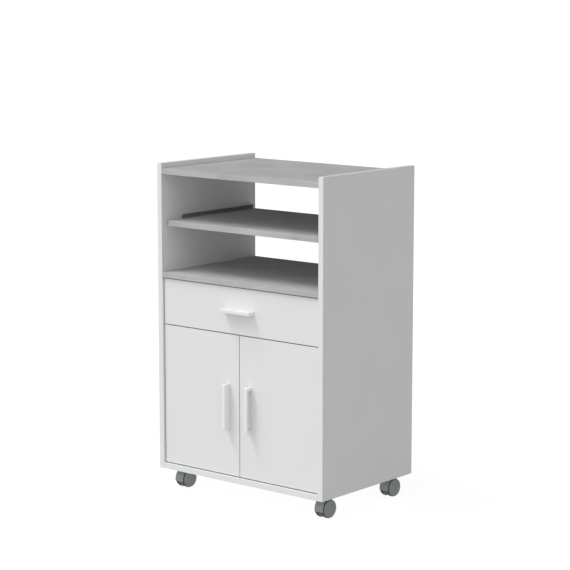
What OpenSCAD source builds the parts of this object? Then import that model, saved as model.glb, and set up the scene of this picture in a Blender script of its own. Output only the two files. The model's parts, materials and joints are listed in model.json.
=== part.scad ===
// Kitchen cart for a microwave oven: open top section with a pull-out tray,
// one drawer, a two-door cupboard and four twin-wheel swivel casters.
// Millimetres, +Z up, front towards -Y. The origin is on the floor, under the
// middle of the cart's overall depth. Inside the carcass, y is counted from
// the front edges of the side panels and z from the floor.

/* [Carcass] */
// Overall width over the side panels
body_w = 590; // [500:1:700]
// Depth of the side panels
body_d = 400; // [370:1:480]
// Height of the side panels
side_h = 866; // [860:1:900]
// Thickness of the melamine boards
board_t = 16; // [15:0.5:18]
// Height of the side panels above the top board
rim_h = 14; // [8:1:30]
// Thickness of the hardboard back
back_t = 3; // [2.5:0.5:4]
// Distance of the back panel from the rear edge of the sides
back_inset = 10; // [8:1:16]
// Depth of the grooves that hold the back panel
groove_depth = 6; // [5:0.5:7]

/* [Fronts] */
// Gap round the doors and the drawer front
front_gap = 3; // [2.5:0.1:3.5]
// Distance of the fronts behind the edges of the side panels
front_recess = 6; // [6:0.5:8]
// Thickness of the doors and the drawer front
front_t = 16; // [15:0.5:18]
// Height of the doors
door_h = 394; // [370:1:400]
// Height of the drawer front
drawer_front_h = 128; // [125:1:140]

/* [Shelves] */
// Clear height under the pull-out tray
tray_under = 128; // [100:1:150]
// Thickness of the tray
tray_t = 16; // [15:0.5:18]
// Distance of the tray behind the edges of the side panels
tray_recess = 13; // [10:1:20]
// Distance of the tray from the rear edges of the side panels
tray_back_gap = 17; // [5:1:30]
// Height of the cupboard shelf above the bottom panel
shelf_level = 190; // [150:1:220]
// Distance of the cupboard shelf behind the edges of the side panels
shelf_recess = 50; // [40:1:80]
// Play of the cupboard shelf at each end
shelf_play = 0.5; // [0.3:0.1:1]

/* [Drawer box] */
// Thickness of the drawer sides and back
box_t = 12; // [10:1:14]
// Height of the drawer sides
box_h = 90; // [80:1:95]
// Space between the drawer box and the back panel
box_back_gap = 15; // [8:1:20]
// Thickness of the drawer bottom
box_floor_t = 3; // [2.5:0.5:4]
// Height of the drawer sides above the lower edge of the drawer front
box_lift = 7; // [6:0.5:10]
// Height of the bottom's groove above the lower edge of the drawer sides
box_groove_z = 8; // [6:0.5:10]

/* [Runners] */
// Space for a runner between a side panel and what it carries
runner_space = 12.5; // [12:0.1:13.5]
// Thickness of the runner steel
steel_t = 1.2; // [1:0.1:1.4]
// Outside height of the fixed rail
rail_h = 29.5; // [29:0.5:32]
// Distance of the rail's lower edge below what the runner carries
rail_drop = 4; // [4:0.2:5]
// Distance of the tray's runners behind the tray's front edge
tray_runner_y = 63; // [40:1:80]
// Distance of the tray's runners from the tray's rear edge
tray_runner_back = 7; // [2:1:20]
// Distance of the tray's fixed rails behind the front of its runners
tray_rail_lag = 10; // [6:1:14]
// Distance of the drawer's fixed rails behind the front of its runners
drawer_rail_lag = 4; // [3:1:6]
// How far the tray slides out
tray_travel = 225; // [150:1:235]
// How far the drawer slides out
drawer_travel = 260; // [180:1:285]
// Diameter of the runner rollers
roller_dia = 20; // [18:0.5:20]
// Width of the runner rollers
roller_w = 7.5; // [6:0.5:7.5]
// Diameter of the stub axles that carry the rollers
roller_pin_dia = 4; // [3:0.5:5]
// Distance of a roller's axle from the end of its rail
roller_end = 12; // [12:1:16]

/* [Handles] */
// Overall length of the drawer handle
drawer_handle_l = 105; // [90:1:140]
// Overall length of the door handles
door_handle_l = 128; // [90:1:140]
// Overall thickness of the shell-shaped handles, from the closed to the open side
handle_w = 10; // [8:0.5:14]
// Thickness of a handle's front lip
handle_lip_t = 3; // [2:0.5:5]
// Thickness of a handle's closed side
handle_plate_t = 2.5; // [2:0.5:4]
// Length of the solid block for a screw at each end of a handle
handle_end_t = 9; // [8:0.5:12]
// How far a handle stands out from its front
handle_reach = 22; // [20:0.5:30]
// Radius of the handles' rounded outer corners
handle_corner_r = 2; // [1:0.5:3]
// Distance of a door handle's middle from the middle of the cart
door_handle_x = 40; // [30:1:70]
// Height of the door handles' middle above the doors' lower edge
door_handle_z = 193; // [150:1:230]

/* [Door pivots] */
// Diameter of the pivot pins
pivot_dia = 3; // [2.5:0.1:3.2]
// Length of a pivot pin inside the door
pivot_l = 8; // [6:0.5:10]
// Diameter of the plastic bush in the door
bush_dia = 5; // [4.6:0.1:5.4]
// Distance of the pivot from the hinged edge of the door
pivot_edge = 4.5; // [4.3:0.1:4.6]
// Distance of the pivot behind the door's front face
pivot_face = 5.5; // [5.3:0.1:5.6]
// Thickness of the pivot plates
pivot_plate_t = 1.5; // [1.2:0.1:1.8]
// Length of the pivot plates, front to back
pivot_plate_l = 52; // [45:1:60]

/* [Casters] */
// Overall height of a caster
caster_h = 62; // [61:1:68]
// Diameter of the caster wheels
wheel_dia = 52; // [48:1:53]
// Width over the two wheels
twin_w = 36; // [34:1:44]
// Width of the hood over the wheels
hood_w = 28.5; // [26:0.5:34]
// Width of the caster body between the wheels
caster_core_w = 13; // [12:0.5:15]
// Distance of the wheels' axle behind the swivel axis
caster_trail = 10; // [8:1:12]
// Distance of the swivel axis from the outside of the side panel
caster_in_x = 41; // [38:1:60]
// Distance of the swivel axis from the front or rear edge
caster_in_y = 55; // [40:1:70]
// Diameter of the swivel pin
swivel_dia = 8; // [7:0.5:8]
// Diameter of the wheels' axle
axle_dia = 6; // [5:0.5:7]
// Side of the square mounting plate
plate_side = 42; // [40:1:46]
// Thickness of the mounting plate
plate_t = 2.5; // [2:0.5:3]

/* [Fittings] */
// Diameter of the cam locks
cam_dia = 15; // [14:0.5:15.5]
// Height of the cam locks
cam_h = 12.5; // [10:0.5:12.5]
// Distance of a cam lock's middle from the end of its board
cam_in = 34; // [30:1:36]
// Distance of the cam locks from the front and rear edges of a board
cam_edge = 60; // [50:1:80]
// Diameter of the cam bolts
bolt_dia = 6; // [5:0.5:7]
// Diameter of the wooden dowels
dowel_dia = 8; // [6:1:8]
// Length of the wooden dowels
dowel_l = 30; // [25:1:35]
// Distance of a dowel from its neighbouring cam lock
dowel_step = 32; // [28:1:40]

/* [Hidden] */

// General
$fn = 48;
cut = 1;               // overshoot of a cutting tool
running = 0.05;        // radial clearance of a pin that turns in its hole
rolling = 0.2;         // gap between a roller and what rolls on it
white = [0.93, 0.93, 0.93];
cement = [0.66, 0.66, 0.65];
steel = [0.62, 0.63, 0.64];
dark_steel = [0.28, 0.29, 0.3];
caster_grey = [0.42, 0.45, 0.45];
hardboard = [0.9, 0.9, 0.88];
nylon = [0.85, 0.85, 0.82];
beech = [0.8, 0.64, 0.44];

// Levels and places worked out from the driving sizes
front_y = (handle_reach - front_recess - body_d) / 2;
inner_w = body_w - 2 * board_t;
wall_x = inner_w / 2;
bottom_z = caster_h;
bottom_top = bottom_z + board_t;
door_z = bottom_top + front_gap;
door_top = door_z + door_h;
drawer_z = door_top + front_gap;
drawer_top = drawer_z + drawer_front_h;
counter_z = drawer_top + front_gap;
counter_top = counter_z + board_t;
side_top = caster_h + side_h;
top_z = side_top - rim_h - board_t;
tray_z = counter_top + tray_under;
shelf_z = bottom_top + shelf_level;
back_y = body_d - back_inset - back_t;
fronts_back = front_recess + front_t;
door_w = (inner_w - 3 * front_gap) / 2;
tray_d = body_d - tray_recess - tray_back_gap;
tray_runner_l = tray_d - tray_runner_y - tray_runner_back;
box_d = back_y - fronts_back - box_back_gap;

// Back panel
groove_play = 0.2;
back_edge_play = 1;

// Runners
carried_w = inner_w - 2 * runner_space;
flange_w = 11;                      // reach of the rail's flanges from the wall
runner_foot = 12;                   // reach of a runner's foot under its load
rail_floor = steel_t - rail_drop;   // top of the rail's lower flange
runner_top = rail_h - rail_drop - steel_t - 0.9;
roller_r = roller_dia / 2;
front_roller_z = runner_top - steel_t - rolling - roller_r;
rear_roller_z = rail_floor + rolling + roller_r;
roller_gap = 0.6;                   // length of the collar behind a roller
rivet_gap = 0.3;                    // play between a roller and its axle's head
rivet_t = 0.9;
stop_gap = 0.3;                     // gap between a roller and its stop when they meet
stop_h = 7;                         // height of the stop tabs
tray_runner_start = tray_recess + tray_runner_y;
tray_rail_start = tray_runner_start + tray_rail_lag;
drawer_side_z = drawer_z + box_lift;
drawer_rail_start = fronts_back + drawer_rail_lag;

// Handles
handle_screw_dia = 4;
handle_screw_grip = 12;
screw_head_dia = 7;
screw_head_t = 2;
screw_play = 0.1;

// Door pivots
plate_width = 14;
pivot_x = front_gap + pivot_edge;
pivot_y = front_recess + pivot_face;
pivot_side_h = 13;                  // height of the top pivot's wall flange
bush_floor = 1;
shoulder_dia = 6.5;
pivot_screw_y = [front_recess + 30, front_recess + 46];

// Catches
catch_w = 16;
catch_d = 14;
catch_h = 14;
strike_t = 1.2;
catch_x = 24;

// Casters
wheel_r = wheel_dia / 2;
hood_gap = 2.2;
hood_t = 1.6;
hood_skirt = 12;                    // how far the hood reaches below the axle
wheel_side_gap = 0.5;
wheel_face_t = 1.4;                 // closed outer face of a wheel over its bore
wheel_w = (twin_w - caster_core_w) / 2 - wheel_side_gap;
swivel_gap = 0.3;
swivel_pin_l = 16;
hood_back = 8;                      // how far the hood reaches behind the axle
plate_hole_in = 6.5;
caster_screw_dia = 4;
caster_screw_l = 14;

// Fittings
cam_bolt_grip = 11;
fitting_play = 0.1;
fixing_dia = 3.5;
fixing_l = 12;
foot_screw_l = 8;
fixing_head_dia = 6.5;
fixing_head_t = 1.5;
shelf_pin_dia = 5;
shelf_pin_depth = 9;
shelf_pin_reach = 8;
shelf_pin_step = 32;

// ---------------------------------------------------------------- helpers

// Moves what is drawn from the front edges of the side panels
module in_cart() {
    translate([0, front_y, 0]) children();
}

// Draws its children at the left wall, with x counted from the wall inwards
module at_left_wall() {
    translate([-wall_x, 0, 0]) children();
}

// Draws its children at the left (-1) or the right (1) wall
module at_wall(side) {
    if (side < 0) at_left_wall() children();
    else mirror([1, 0, 0]) at_left_wall() children();
}

// Cylinder along +X from a point
module x_rod(dia, length) {
    rotate([0, 90, 0]) cylinder(d = dia, h = length);
}

// Cylinder along +Y from a point
module y_rod(dia, length) {
    rotate([-90, 0, 0]) cylinder(d = dia, h = length);
}

// Pan-head screw along -Z: its shank starts under the head at z = 0
module pan_screw(dia, length, head_dia, head_t) {
    translate([0, 0, -length]) cylinder(d = dia, h = length);
    rotate_extrude()
        polygon([[0, 0], [head_dia / 2, 0], [head_dia / 2, head_t * 0.4],
            [head_dia / 3, head_t], [0, head_t]]);
}

// ---------------------------------------------------------------- fittings

// Where the fittings sit along the depth: [cam lock y, dowel y]
fitting_rows = [[cam_edge, cam_edge + dowel_step],
    [body_d - cam_edge, body_d - cam_edge - dowel_step]];
board_levels = [bottom_z, counter_z, top_z];

// Draws its children at each end of each carcass board, at its mid thickness,
// with x counted from the board's end inwards
module at_board_ends(levels) {
    for (z = levels, side = [-1, 1])
        at_wall(side) translate([0, 0, z + board_t / 2]) children();
}

// Bores of one board's fittings, drawn at both ends
module board_bores(z) {
    at_board_ends([z]) for (row = fitting_rows) {
        translate([cam_in, row[0], -board_t / 2 - cut])
            cylinder(d = cam_dia + 2 * fitting_play, h = cam_h + cut);
        translate([-cut, row[0], 0])
            x_rod(bolt_dia + 2 * fitting_play, cam_in + cut);
        translate([-cut, row[1], 0])
            x_rod(dowel_dia + 2 * fitting_play, dowel_l * 0.6 + cut + fitting_play);
    }
}

// Cam lock: a drum with a jaw for the bolt's head and a screwdriver slot
module cam_lock() {
    difference() {
        cylinder(d = cam_dia, h = cam_h - 0.5);
        translate([-cam_dia, -bolt_dia / 2 - 0.4, board_t / 2 - bolt_dia / 2 - 0.4])
            cube([cam_dia, bolt_dia + 0.8, cam_h]);
        for (turn = [0, 90])
            rotate([0, 0, turn]) translate([-cam_dia * 0.3, -0.6, -cut])
                cube([cam_dia * 0.6, 1.2, 2 + cut]);
    }
}

module cam_locks() {
    color(steel) in_cart() at_board_ends(board_levels) for (row = fitting_rows)
        translate([cam_in, row[0], -board_t / 2]) cam_lock();
}

// Cam bolt: threaded end in the side panel, waisted head inside the cam lock
module cam_bolt() {
    translate([-cam_bolt_grip, 0, 0]) x_rod(bolt_dia, cam_bolt_grip + cam_in - 5);
    translate([cam_in - 5, 0, 0]) x_rod(bolt_dia * 0.6, 3);
    translate([cam_in - 2, 0, 0]) x_rod(bolt_dia, 2);
}

module cam_bolts() {
    color(steel) in_cart() at_board_ends(board_levels) for (row = fitting_rows)
        translate([0, row[0], 0]) cam_bolt();
}

module wood_dowels() {
    color(beech) in_cart() at_board_ends(board_levels) for (row = fitting_rows)
        translate([-dowel_l * 0.4, row[1], 0]) rotate([0, 90, 0]) rotate_extrude()
            polygon([[0, 0], [dowel_dia / 2 - 1, 0], [dowel_dia / 2, 1],
                [dowel_dia / 2, dowel_l - 1], [dowel_dia / 2 - 1, dowel_l], [0, dowel_l]]);
}

// ---------------------------------------------------------------- carcass

shelf_pin_rows = [shelf_recess + 30, back_y - 60];

// Left side panel with its groove and all its bores, x from the wall outwards
module side_panel() {
    difference() {
        translate([-board_t, 0, bottom_z]) cube([board_t, body_d, side_h]);
        // groove for the back panel, between the bottom panel and the counter
        translate([-groove_depth, back_y - groove_play, bottom_top - groove_depth])
            cube([groove_depth + cut, back_t + 2 * groove_play,
                counter_z - bottom_top + 2 * groove_depth]);
        // bolts and dowels of the three fixed boards
        for (z = board_levels, row = fitting_rows) {
            translate([-cam_bolt_grip - fitting_play, row[0], z + board_t / 2])
                x_rod(bolt_dia + 2 * fitting_play, board_t);
            translate([-dowel_l * 0.4 - fitting_play, row[1], z + board_t / 2])
                x_rod(dowel_dia + 2 * fitting_play, board_t);
        }
        // rows of shelf pin holes
        for (y = shelf_pin_rows, step = [-1, 0, 1])
            translate([-shelf_pin_depth - fitting_play, y, shelf_pin_z + step * shelf_pin_step])
                x_rod(shelf_pin_dia + 2 * fitting_play, board_t);
        // pilot holes of the rails and the top pivot
        for (p = wall_screw_places)
            translate([-fixing_l - fitting_play, p[0], p[1]])
                x_rod(fixing_dia + 2 * fitting_play, fixing_l + cut + fitting_play);
    }
}

module left_side_panel() {
    color(white) in_cart() at_wall(-1) side_panel();
}

module right_side_panel() {
    color(white) in_cart() at_wall(1) side_panel();
}

// A fixed board between the sides
module carcass_board(z) {
    difference() {
        translate([-wall_x, 0, z]) cube([inner_w, body_d, board_t]);
        board_bores(z);
    }
}

// Slot for an edge of the back panel, cut into a board from the level z
module back_slot(z) {
    translate([-wall_x - cut, back_y - groove_play, z])
        cube([inner_w + 2 * cut, back_t + 2 * groove_play, groove_depth + cut]);
}

module top_board() {
    color(cement) in_cart() carcass_board(top_z);
}

module counter_board() {
    color(cement) in_cart() difference() {
        carcass_board(counter_z);
        back_slot(counter_z - cut);
    }
}

module bottom_panel() {
    color(white) in_cart() difference() {
        carcass_board(bottom_z);
        back_slot(bottom_top - groove_depth);
        for (side = [-1, 1], y = pivot_screw_y)
            at_wall(side) translate([plate_width / 2, y, bottom_top - fixing_l - fitting_play])
                cylinder(d = fixing_dia + 2 * fitting_play, h = fixing_l + cut + fitting_play);
        for (side = [-1, 1])
            translate([side * catch_x, catch_screw_y, bottom_top - fixing_l - fitting_play])
                cylinder(d = fixing_dia + 2 * fitting_play, h = fixing_l + cut + fitting_play);
        for (place = caster_places)
            translate([place[0], place[1], 0]) plate_corners()
                translate([0, 0, bottom_z - cut])
                    cylinder(d = caster_screw_dia + 2 * fitting_play,
                        h = caster_screw_l - plate_t + cut + fitting_play);
    }
}

module back_panel() {
    slack = groove_depth - back_edge_play;
    color(hardboard) in_cart()
        translate([-wall_x - slack, back_y, bottom_top - slack])
            cube([inner_w + 2 * slack, back_t, counter_z - bottom_top + 2 * slack]);
}

shelf_pin_z = shelf_z - shelf_pin_dia / 2;

module cupboard_shelf() {
    color(white) in_cart()
        translate([-wall_x + shelf_play, shelf_recess, shelf_z])
            cube([inner_w - 2 * shelf_play, back_y - shelf_recess - 1, board_t]);
}

// Shelf pin: a round shank in the wall and a flat tongue under the shelf
module shelf_pins() {
    color(steel) in_cart() for (side = [-1, 1], y = shelf_pin_rows)
        at_wall(side) translate([0, y, shelf_pin_z]) {
            translate([-shelf_pin_depth, 0, 0]) x_rod(shelf_pin_dia, shelf_pin_depth);
            translate([0, -shelf_pin_dia / 2 - 1, -shelf_pin_dia / 2])
                cube([1.5, shelf_pin_dia + 2, shelf_pin_dia]);
            translate([1.5, -shelf_pin_dia / 2, shelf_pin_dia / 2 - 2])
                cube([shelf_pin_reach, shelf_pin_dia, 2]);
        }
}

// ---------------------------------------------------------------- runners

// Heights and places of the screws that hold a rail to the wall
rail_screw_z = rail_h * 0.65 - rail_drop;
tray_rail_screws = [tray_rail_start + 45, tray_rail_start + tray_runner_l - 30];
drawer_rail_screws = [drawer_rail_start + 45, drawer_rail_start + box_d - 40];
top_pivot_screw_z = door_top - pivot_side_h / 2;
wall_screw_places = concat(
    [for (y = tray_rail_screws) [y, tray_z + rail_screw_z]],
    [for (y = drawer_rail_screws) [y, drawer_side_z + rail_screw_z]],
    [for (y = pivot_screw_y) [y, top_pivot_screw_z]]);

// Places of the screws that hold a runner's foot to its load, from its front
foot_screw_x = runner_space + runner_foot / 2;
tray_foot_screws = [tray_runner_start + 40, tray_runner_start + tray_runner_l - 40];
drawer_foot_screws = [fronts_back + 40, fronts_back + box_d - 40];

// Stub axle along +X from the sheet that carries it, with a collar behind the
// roller and a riveted head in front of it
module stub_axle() {
    x_rod(roller_pin_dia, roller_gap + roller_w + rivet_gap + rivet_t);
    x_rod(roller_pin_dia + 3, roller_gap);
    translate([roller_gap + roller_w + rivet_gap, 0, 0]) x_rod(roller_pin_dia + 3, rivet_t);
}

// Fixed rail: a C-section open towards the inside, x from the wall, z from
// the underside of what it carries. It has the front roller's axle and, at
// its rear, the tab that stops the runner's roller when the load is in.
module rail(start, length, screws, roller_y) {
    difference() {
        translate([0, start, -rail_drop]) cube([flange_w, length, rail_h]);
        translate([steel_t, start - cut, rail_floor])
            cube([flange_w, length + 2 * cut, rail_h - 2 * steel_t]);
        for (y = screws)
            translate([-cut, y, rail_screw_z]) x_rod(fixing_dia + 2 * fitting_play, 4);
    }
    translate([steel_t, start + roller_end, front_roller_z]) stub_axle();
    translate([steel_t, roller_y + roller_r + stop_gap, rail_floor])
        cube([flange_w - 3, steel_t, stop_h]);
}

// Moving runner: foot under its load, web beside it, flange towards the wall.
// A tab under the flange meets the rail's roller when the load is out.
module runner(start, length, screws, stop_y) {
    web_x = runner_space - steel_t;
    flange_x = 3.5;
    translate([web_x, start, -steel_t]) cube([steel_t, length, runner_top + steel_t]);
    difference() {
        translate([web_x, start, -steel_t]) cube([steel_t + runner_foot, length, steel_t]);
        for (y = screws)
            translate([foot_screw_x, y, -steel_t - cut])
                cylinder(d = fixing_dia + 2 * fitting_play, h = steel_t + 2 * cut);
    }
    translate([flange_x, start, runner_top - steel_t])
        cube([runner_space - flange_x, length, steel_t]);
    translate([flange_x, stop_y, runner_top - steel_t - stop_h])
        cube([runner_space - flange_x - steel_t - 1, steel_t, stop_h]);
    translate([web_x, start + length - roller_end, rear_roller_z])
        mirror([1, 0, 0]) stub_axle();
}

// Roller with a crowned tread, from x = 0 towards +X
module roller() {
    rotate([0, 90, 0]) rotate_extrude()
        polygon([[roller_pin_dia / 2 + running, 0], [roller_r - 1, 0], [roller_r, 1],
            [roller_r, roller_w - 1], [roller_r - 1, roller_w],
            [roller_pin_dia / 2 + running, roller_w]]);
}

// Pair of rollers on the rails' stub axles
module front_rollers(start, z) {
    color(nylon) in_cart() for (side = [-1, 1])
        at_wall(side) translate([steel_t + roller_gap, start + roller_end, z + front_roller_z])
            roller();
}

// Pair of rollers on the runners' stub axles
module rear_rollers(end, z) {
    color(nylon) in_cart() for (side = [-1, 1])
        at_wall(side)
            translate([runner_space - steel_t - roller_gap - roller_w, end - roller_end,
                z + rear_roller_z])
            roller();
}

module tray_rail(side) {
    color(dark_steel) in_cart() at_wall(side) translate([0, 0, tray_z])
        rail(tray_rail_start, tray_runner_l, tray_rail_screws,
            tray_runner_start + tray_runner_l - roller_end);
}

module drawer_rail(side) {
    color(dark_steel) in_cart() at_wall(side) translate([0, 0, drawer_side_z])
        rail(drawer_rail_start, box_d, drawer_rail_screws,
            fronts_back + box_d - roller_end);
}

module tray_runner(side) {
    color(dark_steel) in_cart() at_wall(side) translate([0, 0, tray_z])
        runner(tray_runner_start, tray_runner_l, tray_foot_screws,
            tray_rail_start + roller_end + roller_r + stop_gap + tray_travel);
}

module drawer_runner(side) {
    color(dark_steel) in_cart() at_wall(side) translate([0, 0, drawer_side_z])
        runner(fronts_back, box_d, drawer_foot_screws,
            drawer_rail_start + roller_end + roller_r + stop_gap + drawer_travel);
}

module tray_front_rollers() {
    front_rollers(tray_rail_start, tray_z);
}

module drawer_front_rollers() {
    front_rollers(drawer_rail_start, drawer_side_z);
}

module tray_rear_rollers() {
    rear_rollers(tray_runner_start + tray_runner_l, tray_z);
}

module drawer_rear_rollers() {
    rear_rollers(fronts_back + box_d, drawer_side_z);
}

// Blind holes of the foot screws in what a runner carries, from the level z
module foot_holes(z, places) {
    for (side = [-1, 1], y = places)
        at_wall(side) translate([foot_screw_x, y, z - cut])
            cylinder(d = fixing_dia + 2 * fitting_play,
                h = foot_screw_l - steel_t + fitting_play + cut);
}

// Screws through the runners' feet, upwards into what they carry
module foot_screws(z, places) {
    color(steel) in_cart() for (side = [-1, 1], y = places)
        at_wall(side) translate([foot_screw_x, y, z - steel_t]) mirror([0, 0, 1])
            pan_screw(fixing_dia, foot_screw_l, fixing_head_dia, fixing_head_t);
}

module tray_board() {
    color(cement) in_cart() difference() {
        translate([-carried_w / 2, tray_recess, tray_z]) cube([carried_w, tray_d, tray_t]);
        foot_holes(tray_z, tray_foot_screws);
    }
}

module tray_screws() {
    foot_screws(tray_z, tray_foot_screws);
}

// ---------------------------------------------------------------- drawer

box_floor_z = drawer_side_z + box_groove_z;
box_groove = 5;
box_play = 0.1;

module drawer_front() {
    color(white) in_cart() difference() {
        translate([-wall_x + front_gap, front_recess, drawer_z])
            cube([inner_w - 2 * front_gap, front_t, drawer_front_h]);
        translate([-carried_w / 2 + box_t - box_groove, fronts_back - box_groove,
                box_floor_z - box_play])
            cube([carried_w - 2 * box_t + 2 * box_groove, box_groove + cut,
                box_floor_t + 2 * box_play]);
        at_drawer_handle() handle_holes(drawer_handle_l);
    }
}

module drawer_side(side) {
    color(white) in_cart() difference() {
        translate([side < 0 ? -carried_w / 2 : carried_w / 2 - box_t, fronts_back,
                drawer_side_z])
            cube([box_t, box_d, box_h]);
        translate([-carried_w / 2 + box_t - box_groove, fronts_back - cut,
                box_floor_z - box_play])
            cube([carried_w - 2 * box_t + 2 * box_groove, box_d + 2 * cut,
                box_floor_t + 2 * box_play]);
        foot_holes(drawer_side_z, drawer_foot_screws);
    }
}

module drawer_screws() {
    foot_screws(drawer_side_z, drawer_foot_screws);
}

module drawer_back() {
    color(white) in_cart()
        translate([-carried_w / 2 + box_t, fronts_back + box_d - box_t,
                box_floor_z + box_floor_t])
            cube([carried_w - 2 * box_t, box_t, box_h - box_groove_z - box_floor_t]);
}

module drawer_bottom() {
    reach = box_groove - 0.5;
    color(hardboard) in_cart()
        translate([-carried_w / 2 + box_t - reach, fronts_back - reach, box_floor_z])
            cube([carried_w - 2 * box_t + 2 * reach, box_d + reach, box_floor_t]);
}

// ---------------------------------------------------------------- handles

// Handle seen from above: length along X, standing out towards -Y
module handle_outline(length) {
    r = handle_corner_r;
    translate([-length / 2, -handle_reach + r]) square([length, handle_reach - r]);
    translate([-length / 2 + r, -handle_reach]) square([length - 2 * r, 2 * r]);
    for (end = [-1, 1])
        translate([end * (length / 2 - r), -handle_reach + r]) circle(r = r);
}

// Shell-shaped handle with its foot on the plane y = 0: closed above, in front
// and at the ends, and open below, where the fingers reach in behind the lip
module handle(length) {
    hollow_l = length - 2 * handle_end_t;
    difference() {
        translate([0, 0, -handle_w / 2]) linear_extrude(handle_w) handle_outline(length);
        translate([-hollow_l / 2, -handle_reach + handle_lip_t, -handle_w / 2 - cut])
            cube([hollow_l, handle_reach, handle_w - handle_plate_t + cut]);
        for (end = [-1, 1])
            translate([end * (length - handle_end_t) / 2, -handle_screw_grip, 0])
                y_rod(handle_screw_dia + 2 * screw_play, handle_screw_grip + cut);
    }
}

// Clearance holes through a front for the handle's screws
module handle_holes(length) {
    for (end = [-1, 1])
        translate([end * (length - handle_end_t) / 2, -cut, 0])
            y_rod(handle_screw_dia + 0.4, front_t + 2 * cut);
}

// Screws from the back of a front into the handle's ends
module handle_screws(length) {
    for (end = [-1, 1])
        translate([end * (length - handle_end_t) / 2, front_t, 0]) rotate([-90, 0, 0])
            pan_screw(handle_screw_dia, front_t + handle_screw_grip - 1,
                screw_head_dia, screw_head_t);
}

// Places a handle on the drawer front
module at_drawer_handle() {
    translate([0, front_recess, drawer_z + drawer_front_h / 2]) children();
}

// Places an upright handle on the left (-1) or the right (1) door, with its
// open side towards the hinges
module at_door_handle(side) {
    translate([side * door_handle_x, front_recess, door_z + door_handle_z])
        rotate([0, -side * 90, 0]) children();
}

module drawer_handle() {
    color(white) in_cart() at_drawer_handle() handle(drawer_handle_l);
}

module drawer_handle_screws() {
    color(steel) in_cart() at_drawer_handle() handle_screws(drawer_handle_l);
}

module door_handle(side) {
    color(white) in_cart() at_door_handle(side) handle(door_handle_l);
}

module door_handle_screws(side) {
    color(steel) in_cart() at_door_handle(side) handle_screws(door_handle_l);
}

// ---------------------------------------------------------------- doors

bush_l = pivot_l + bush_floor + 0.5;

// Draws its children on the pivot axis of a door, x from the wall
module at_pivot(side) {
    at_wall(side) translate([pivot_x, pivot_y, 0]) children();
}

module door(side) {
    color(white) in_cart() difference() {
        at_wall(side) translate([front_gap, front_recess, door_z])
            cube([door_w, front_t, door_h]);
        at_pivot(side) for (z = [door_z - cut, door_top - bush_l])
            translate([0, 0, z]) cylinder(d = bush_dia, h = bush_l + cut);
        at_door_handle(side) handle_holes(door_handle_l);
    }
}

// Plastic bush with a blind bore, open at z = 0 and closed above
module pivot_bush() {
    difference() {
        cylinder(d = bush_dia, h = bush_l);
        translate([0, 0, -cut])
            cylinder(d = pivot_dia + 2 * running, h = bush_l - bush_floor + cut);
    }
}

module pivot_bushes(side) {
    color(nylon) in_cart() at_pivot(side) {
        translate([0, 0, door_z]) pivot_bush();
        translate([0, 0, door_top]) mirror([0, 0, 1]) pivot_bush();
    }
}

// Tongue of a pivot plate seen from above, from the wall to round the pin
module pivot_tongue() {
    translate([0, pivot_y]) square([plate_width, pivot_plate_l - pivot_face]);
    translate([0, pivot_y - shoulder_dia / 2]) square([pivot_x, shoulder_dia]);
    translate([pivot_x, pivot_y]) circle(d = shoulder_dia);
}

// The two pivots of one door: a plate on the bottom panel with a shouldered
// pin, and an angle on the wall, above the door, with a pin that hangs down
module door_pivots(side) {
    seat = front_gap - pivot_plate_t;
    color(steel) in_cart() at_wall(side) {
        difference() {
            translate([0, 0, bottom_top]) linear_extrude(pivot_plate_t) pivot_tongue();
            for (y = pivot_screw_y)
                translate([plate_width / 2, y, bottom_top - cut])
                    cylinder(d = fixing_dia + 2 * fitting_play, h = pivot_plate_t + 2 * cut);
        }
        translate([pivot_x, pivot_y, bottom_top + pivot_plate_t]) {
            cylinder(d = shoulder_dia, h = seat);
            cylinder(d = pivot_dia, h = seat + pivot_l);
        }
        difference() {
            union() {
                translate([0, 0, door_top + seat / 2])
                    linear_extrude(pivot_plate_t) pivot_tongue();
                translate([0, fronts_back + 2, door_top - pivot_side_h])
                    cube([pivot_plate_t, pivot_plate_l - front_t - 2,
                        pivot_side_h + seat / 2 + pivot_plate_t]);
            }
            for (y = pivot_screw_y)
                translate([-cut, y, top_pivot_screw_z])
                    x_rod(fixing_dia + 2 * fitting_play, pivot_plate_t + 2 * cut);
        }
        translate([pivot_x, pivot_y, door_top - pivot_l])
            cylinder(d = pivot_dia, h = pivot_l + seat);
    }
}

catch_y = fronts_back + strike_t;
catch_screw_y = catch_y + catch_d - 5;

// Magnetic catch on the bottom panel, with its foot for one screw
module magnet_catches() {
    color(white) in_cart() for (side = [-1, 1])
        translate([side * catch_x, catch_y, bottom_top]) difference() {
            union() {
                translate([-catch_w / 2, 0, 0]) cube([catch_w, catch_d, 2]);
                translate([-catch_w / 2, 0, 0]) cube([catch_w, catch_d - 9, catch_h]);
            }
            translate([0, catch_d - 5, -cut])
                cylinder(d = fixing_dia + 2 * fitting_play, h = 2 + 2 * cut);
        }
}

module strike_plate(side) {
    color(steel) in_cart()
        translate([side * catch_x - catch_w / 2, fronts_back, door_z + 1])
            cube([catch_w, strike_t, catch_h - 4]);
}

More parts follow.
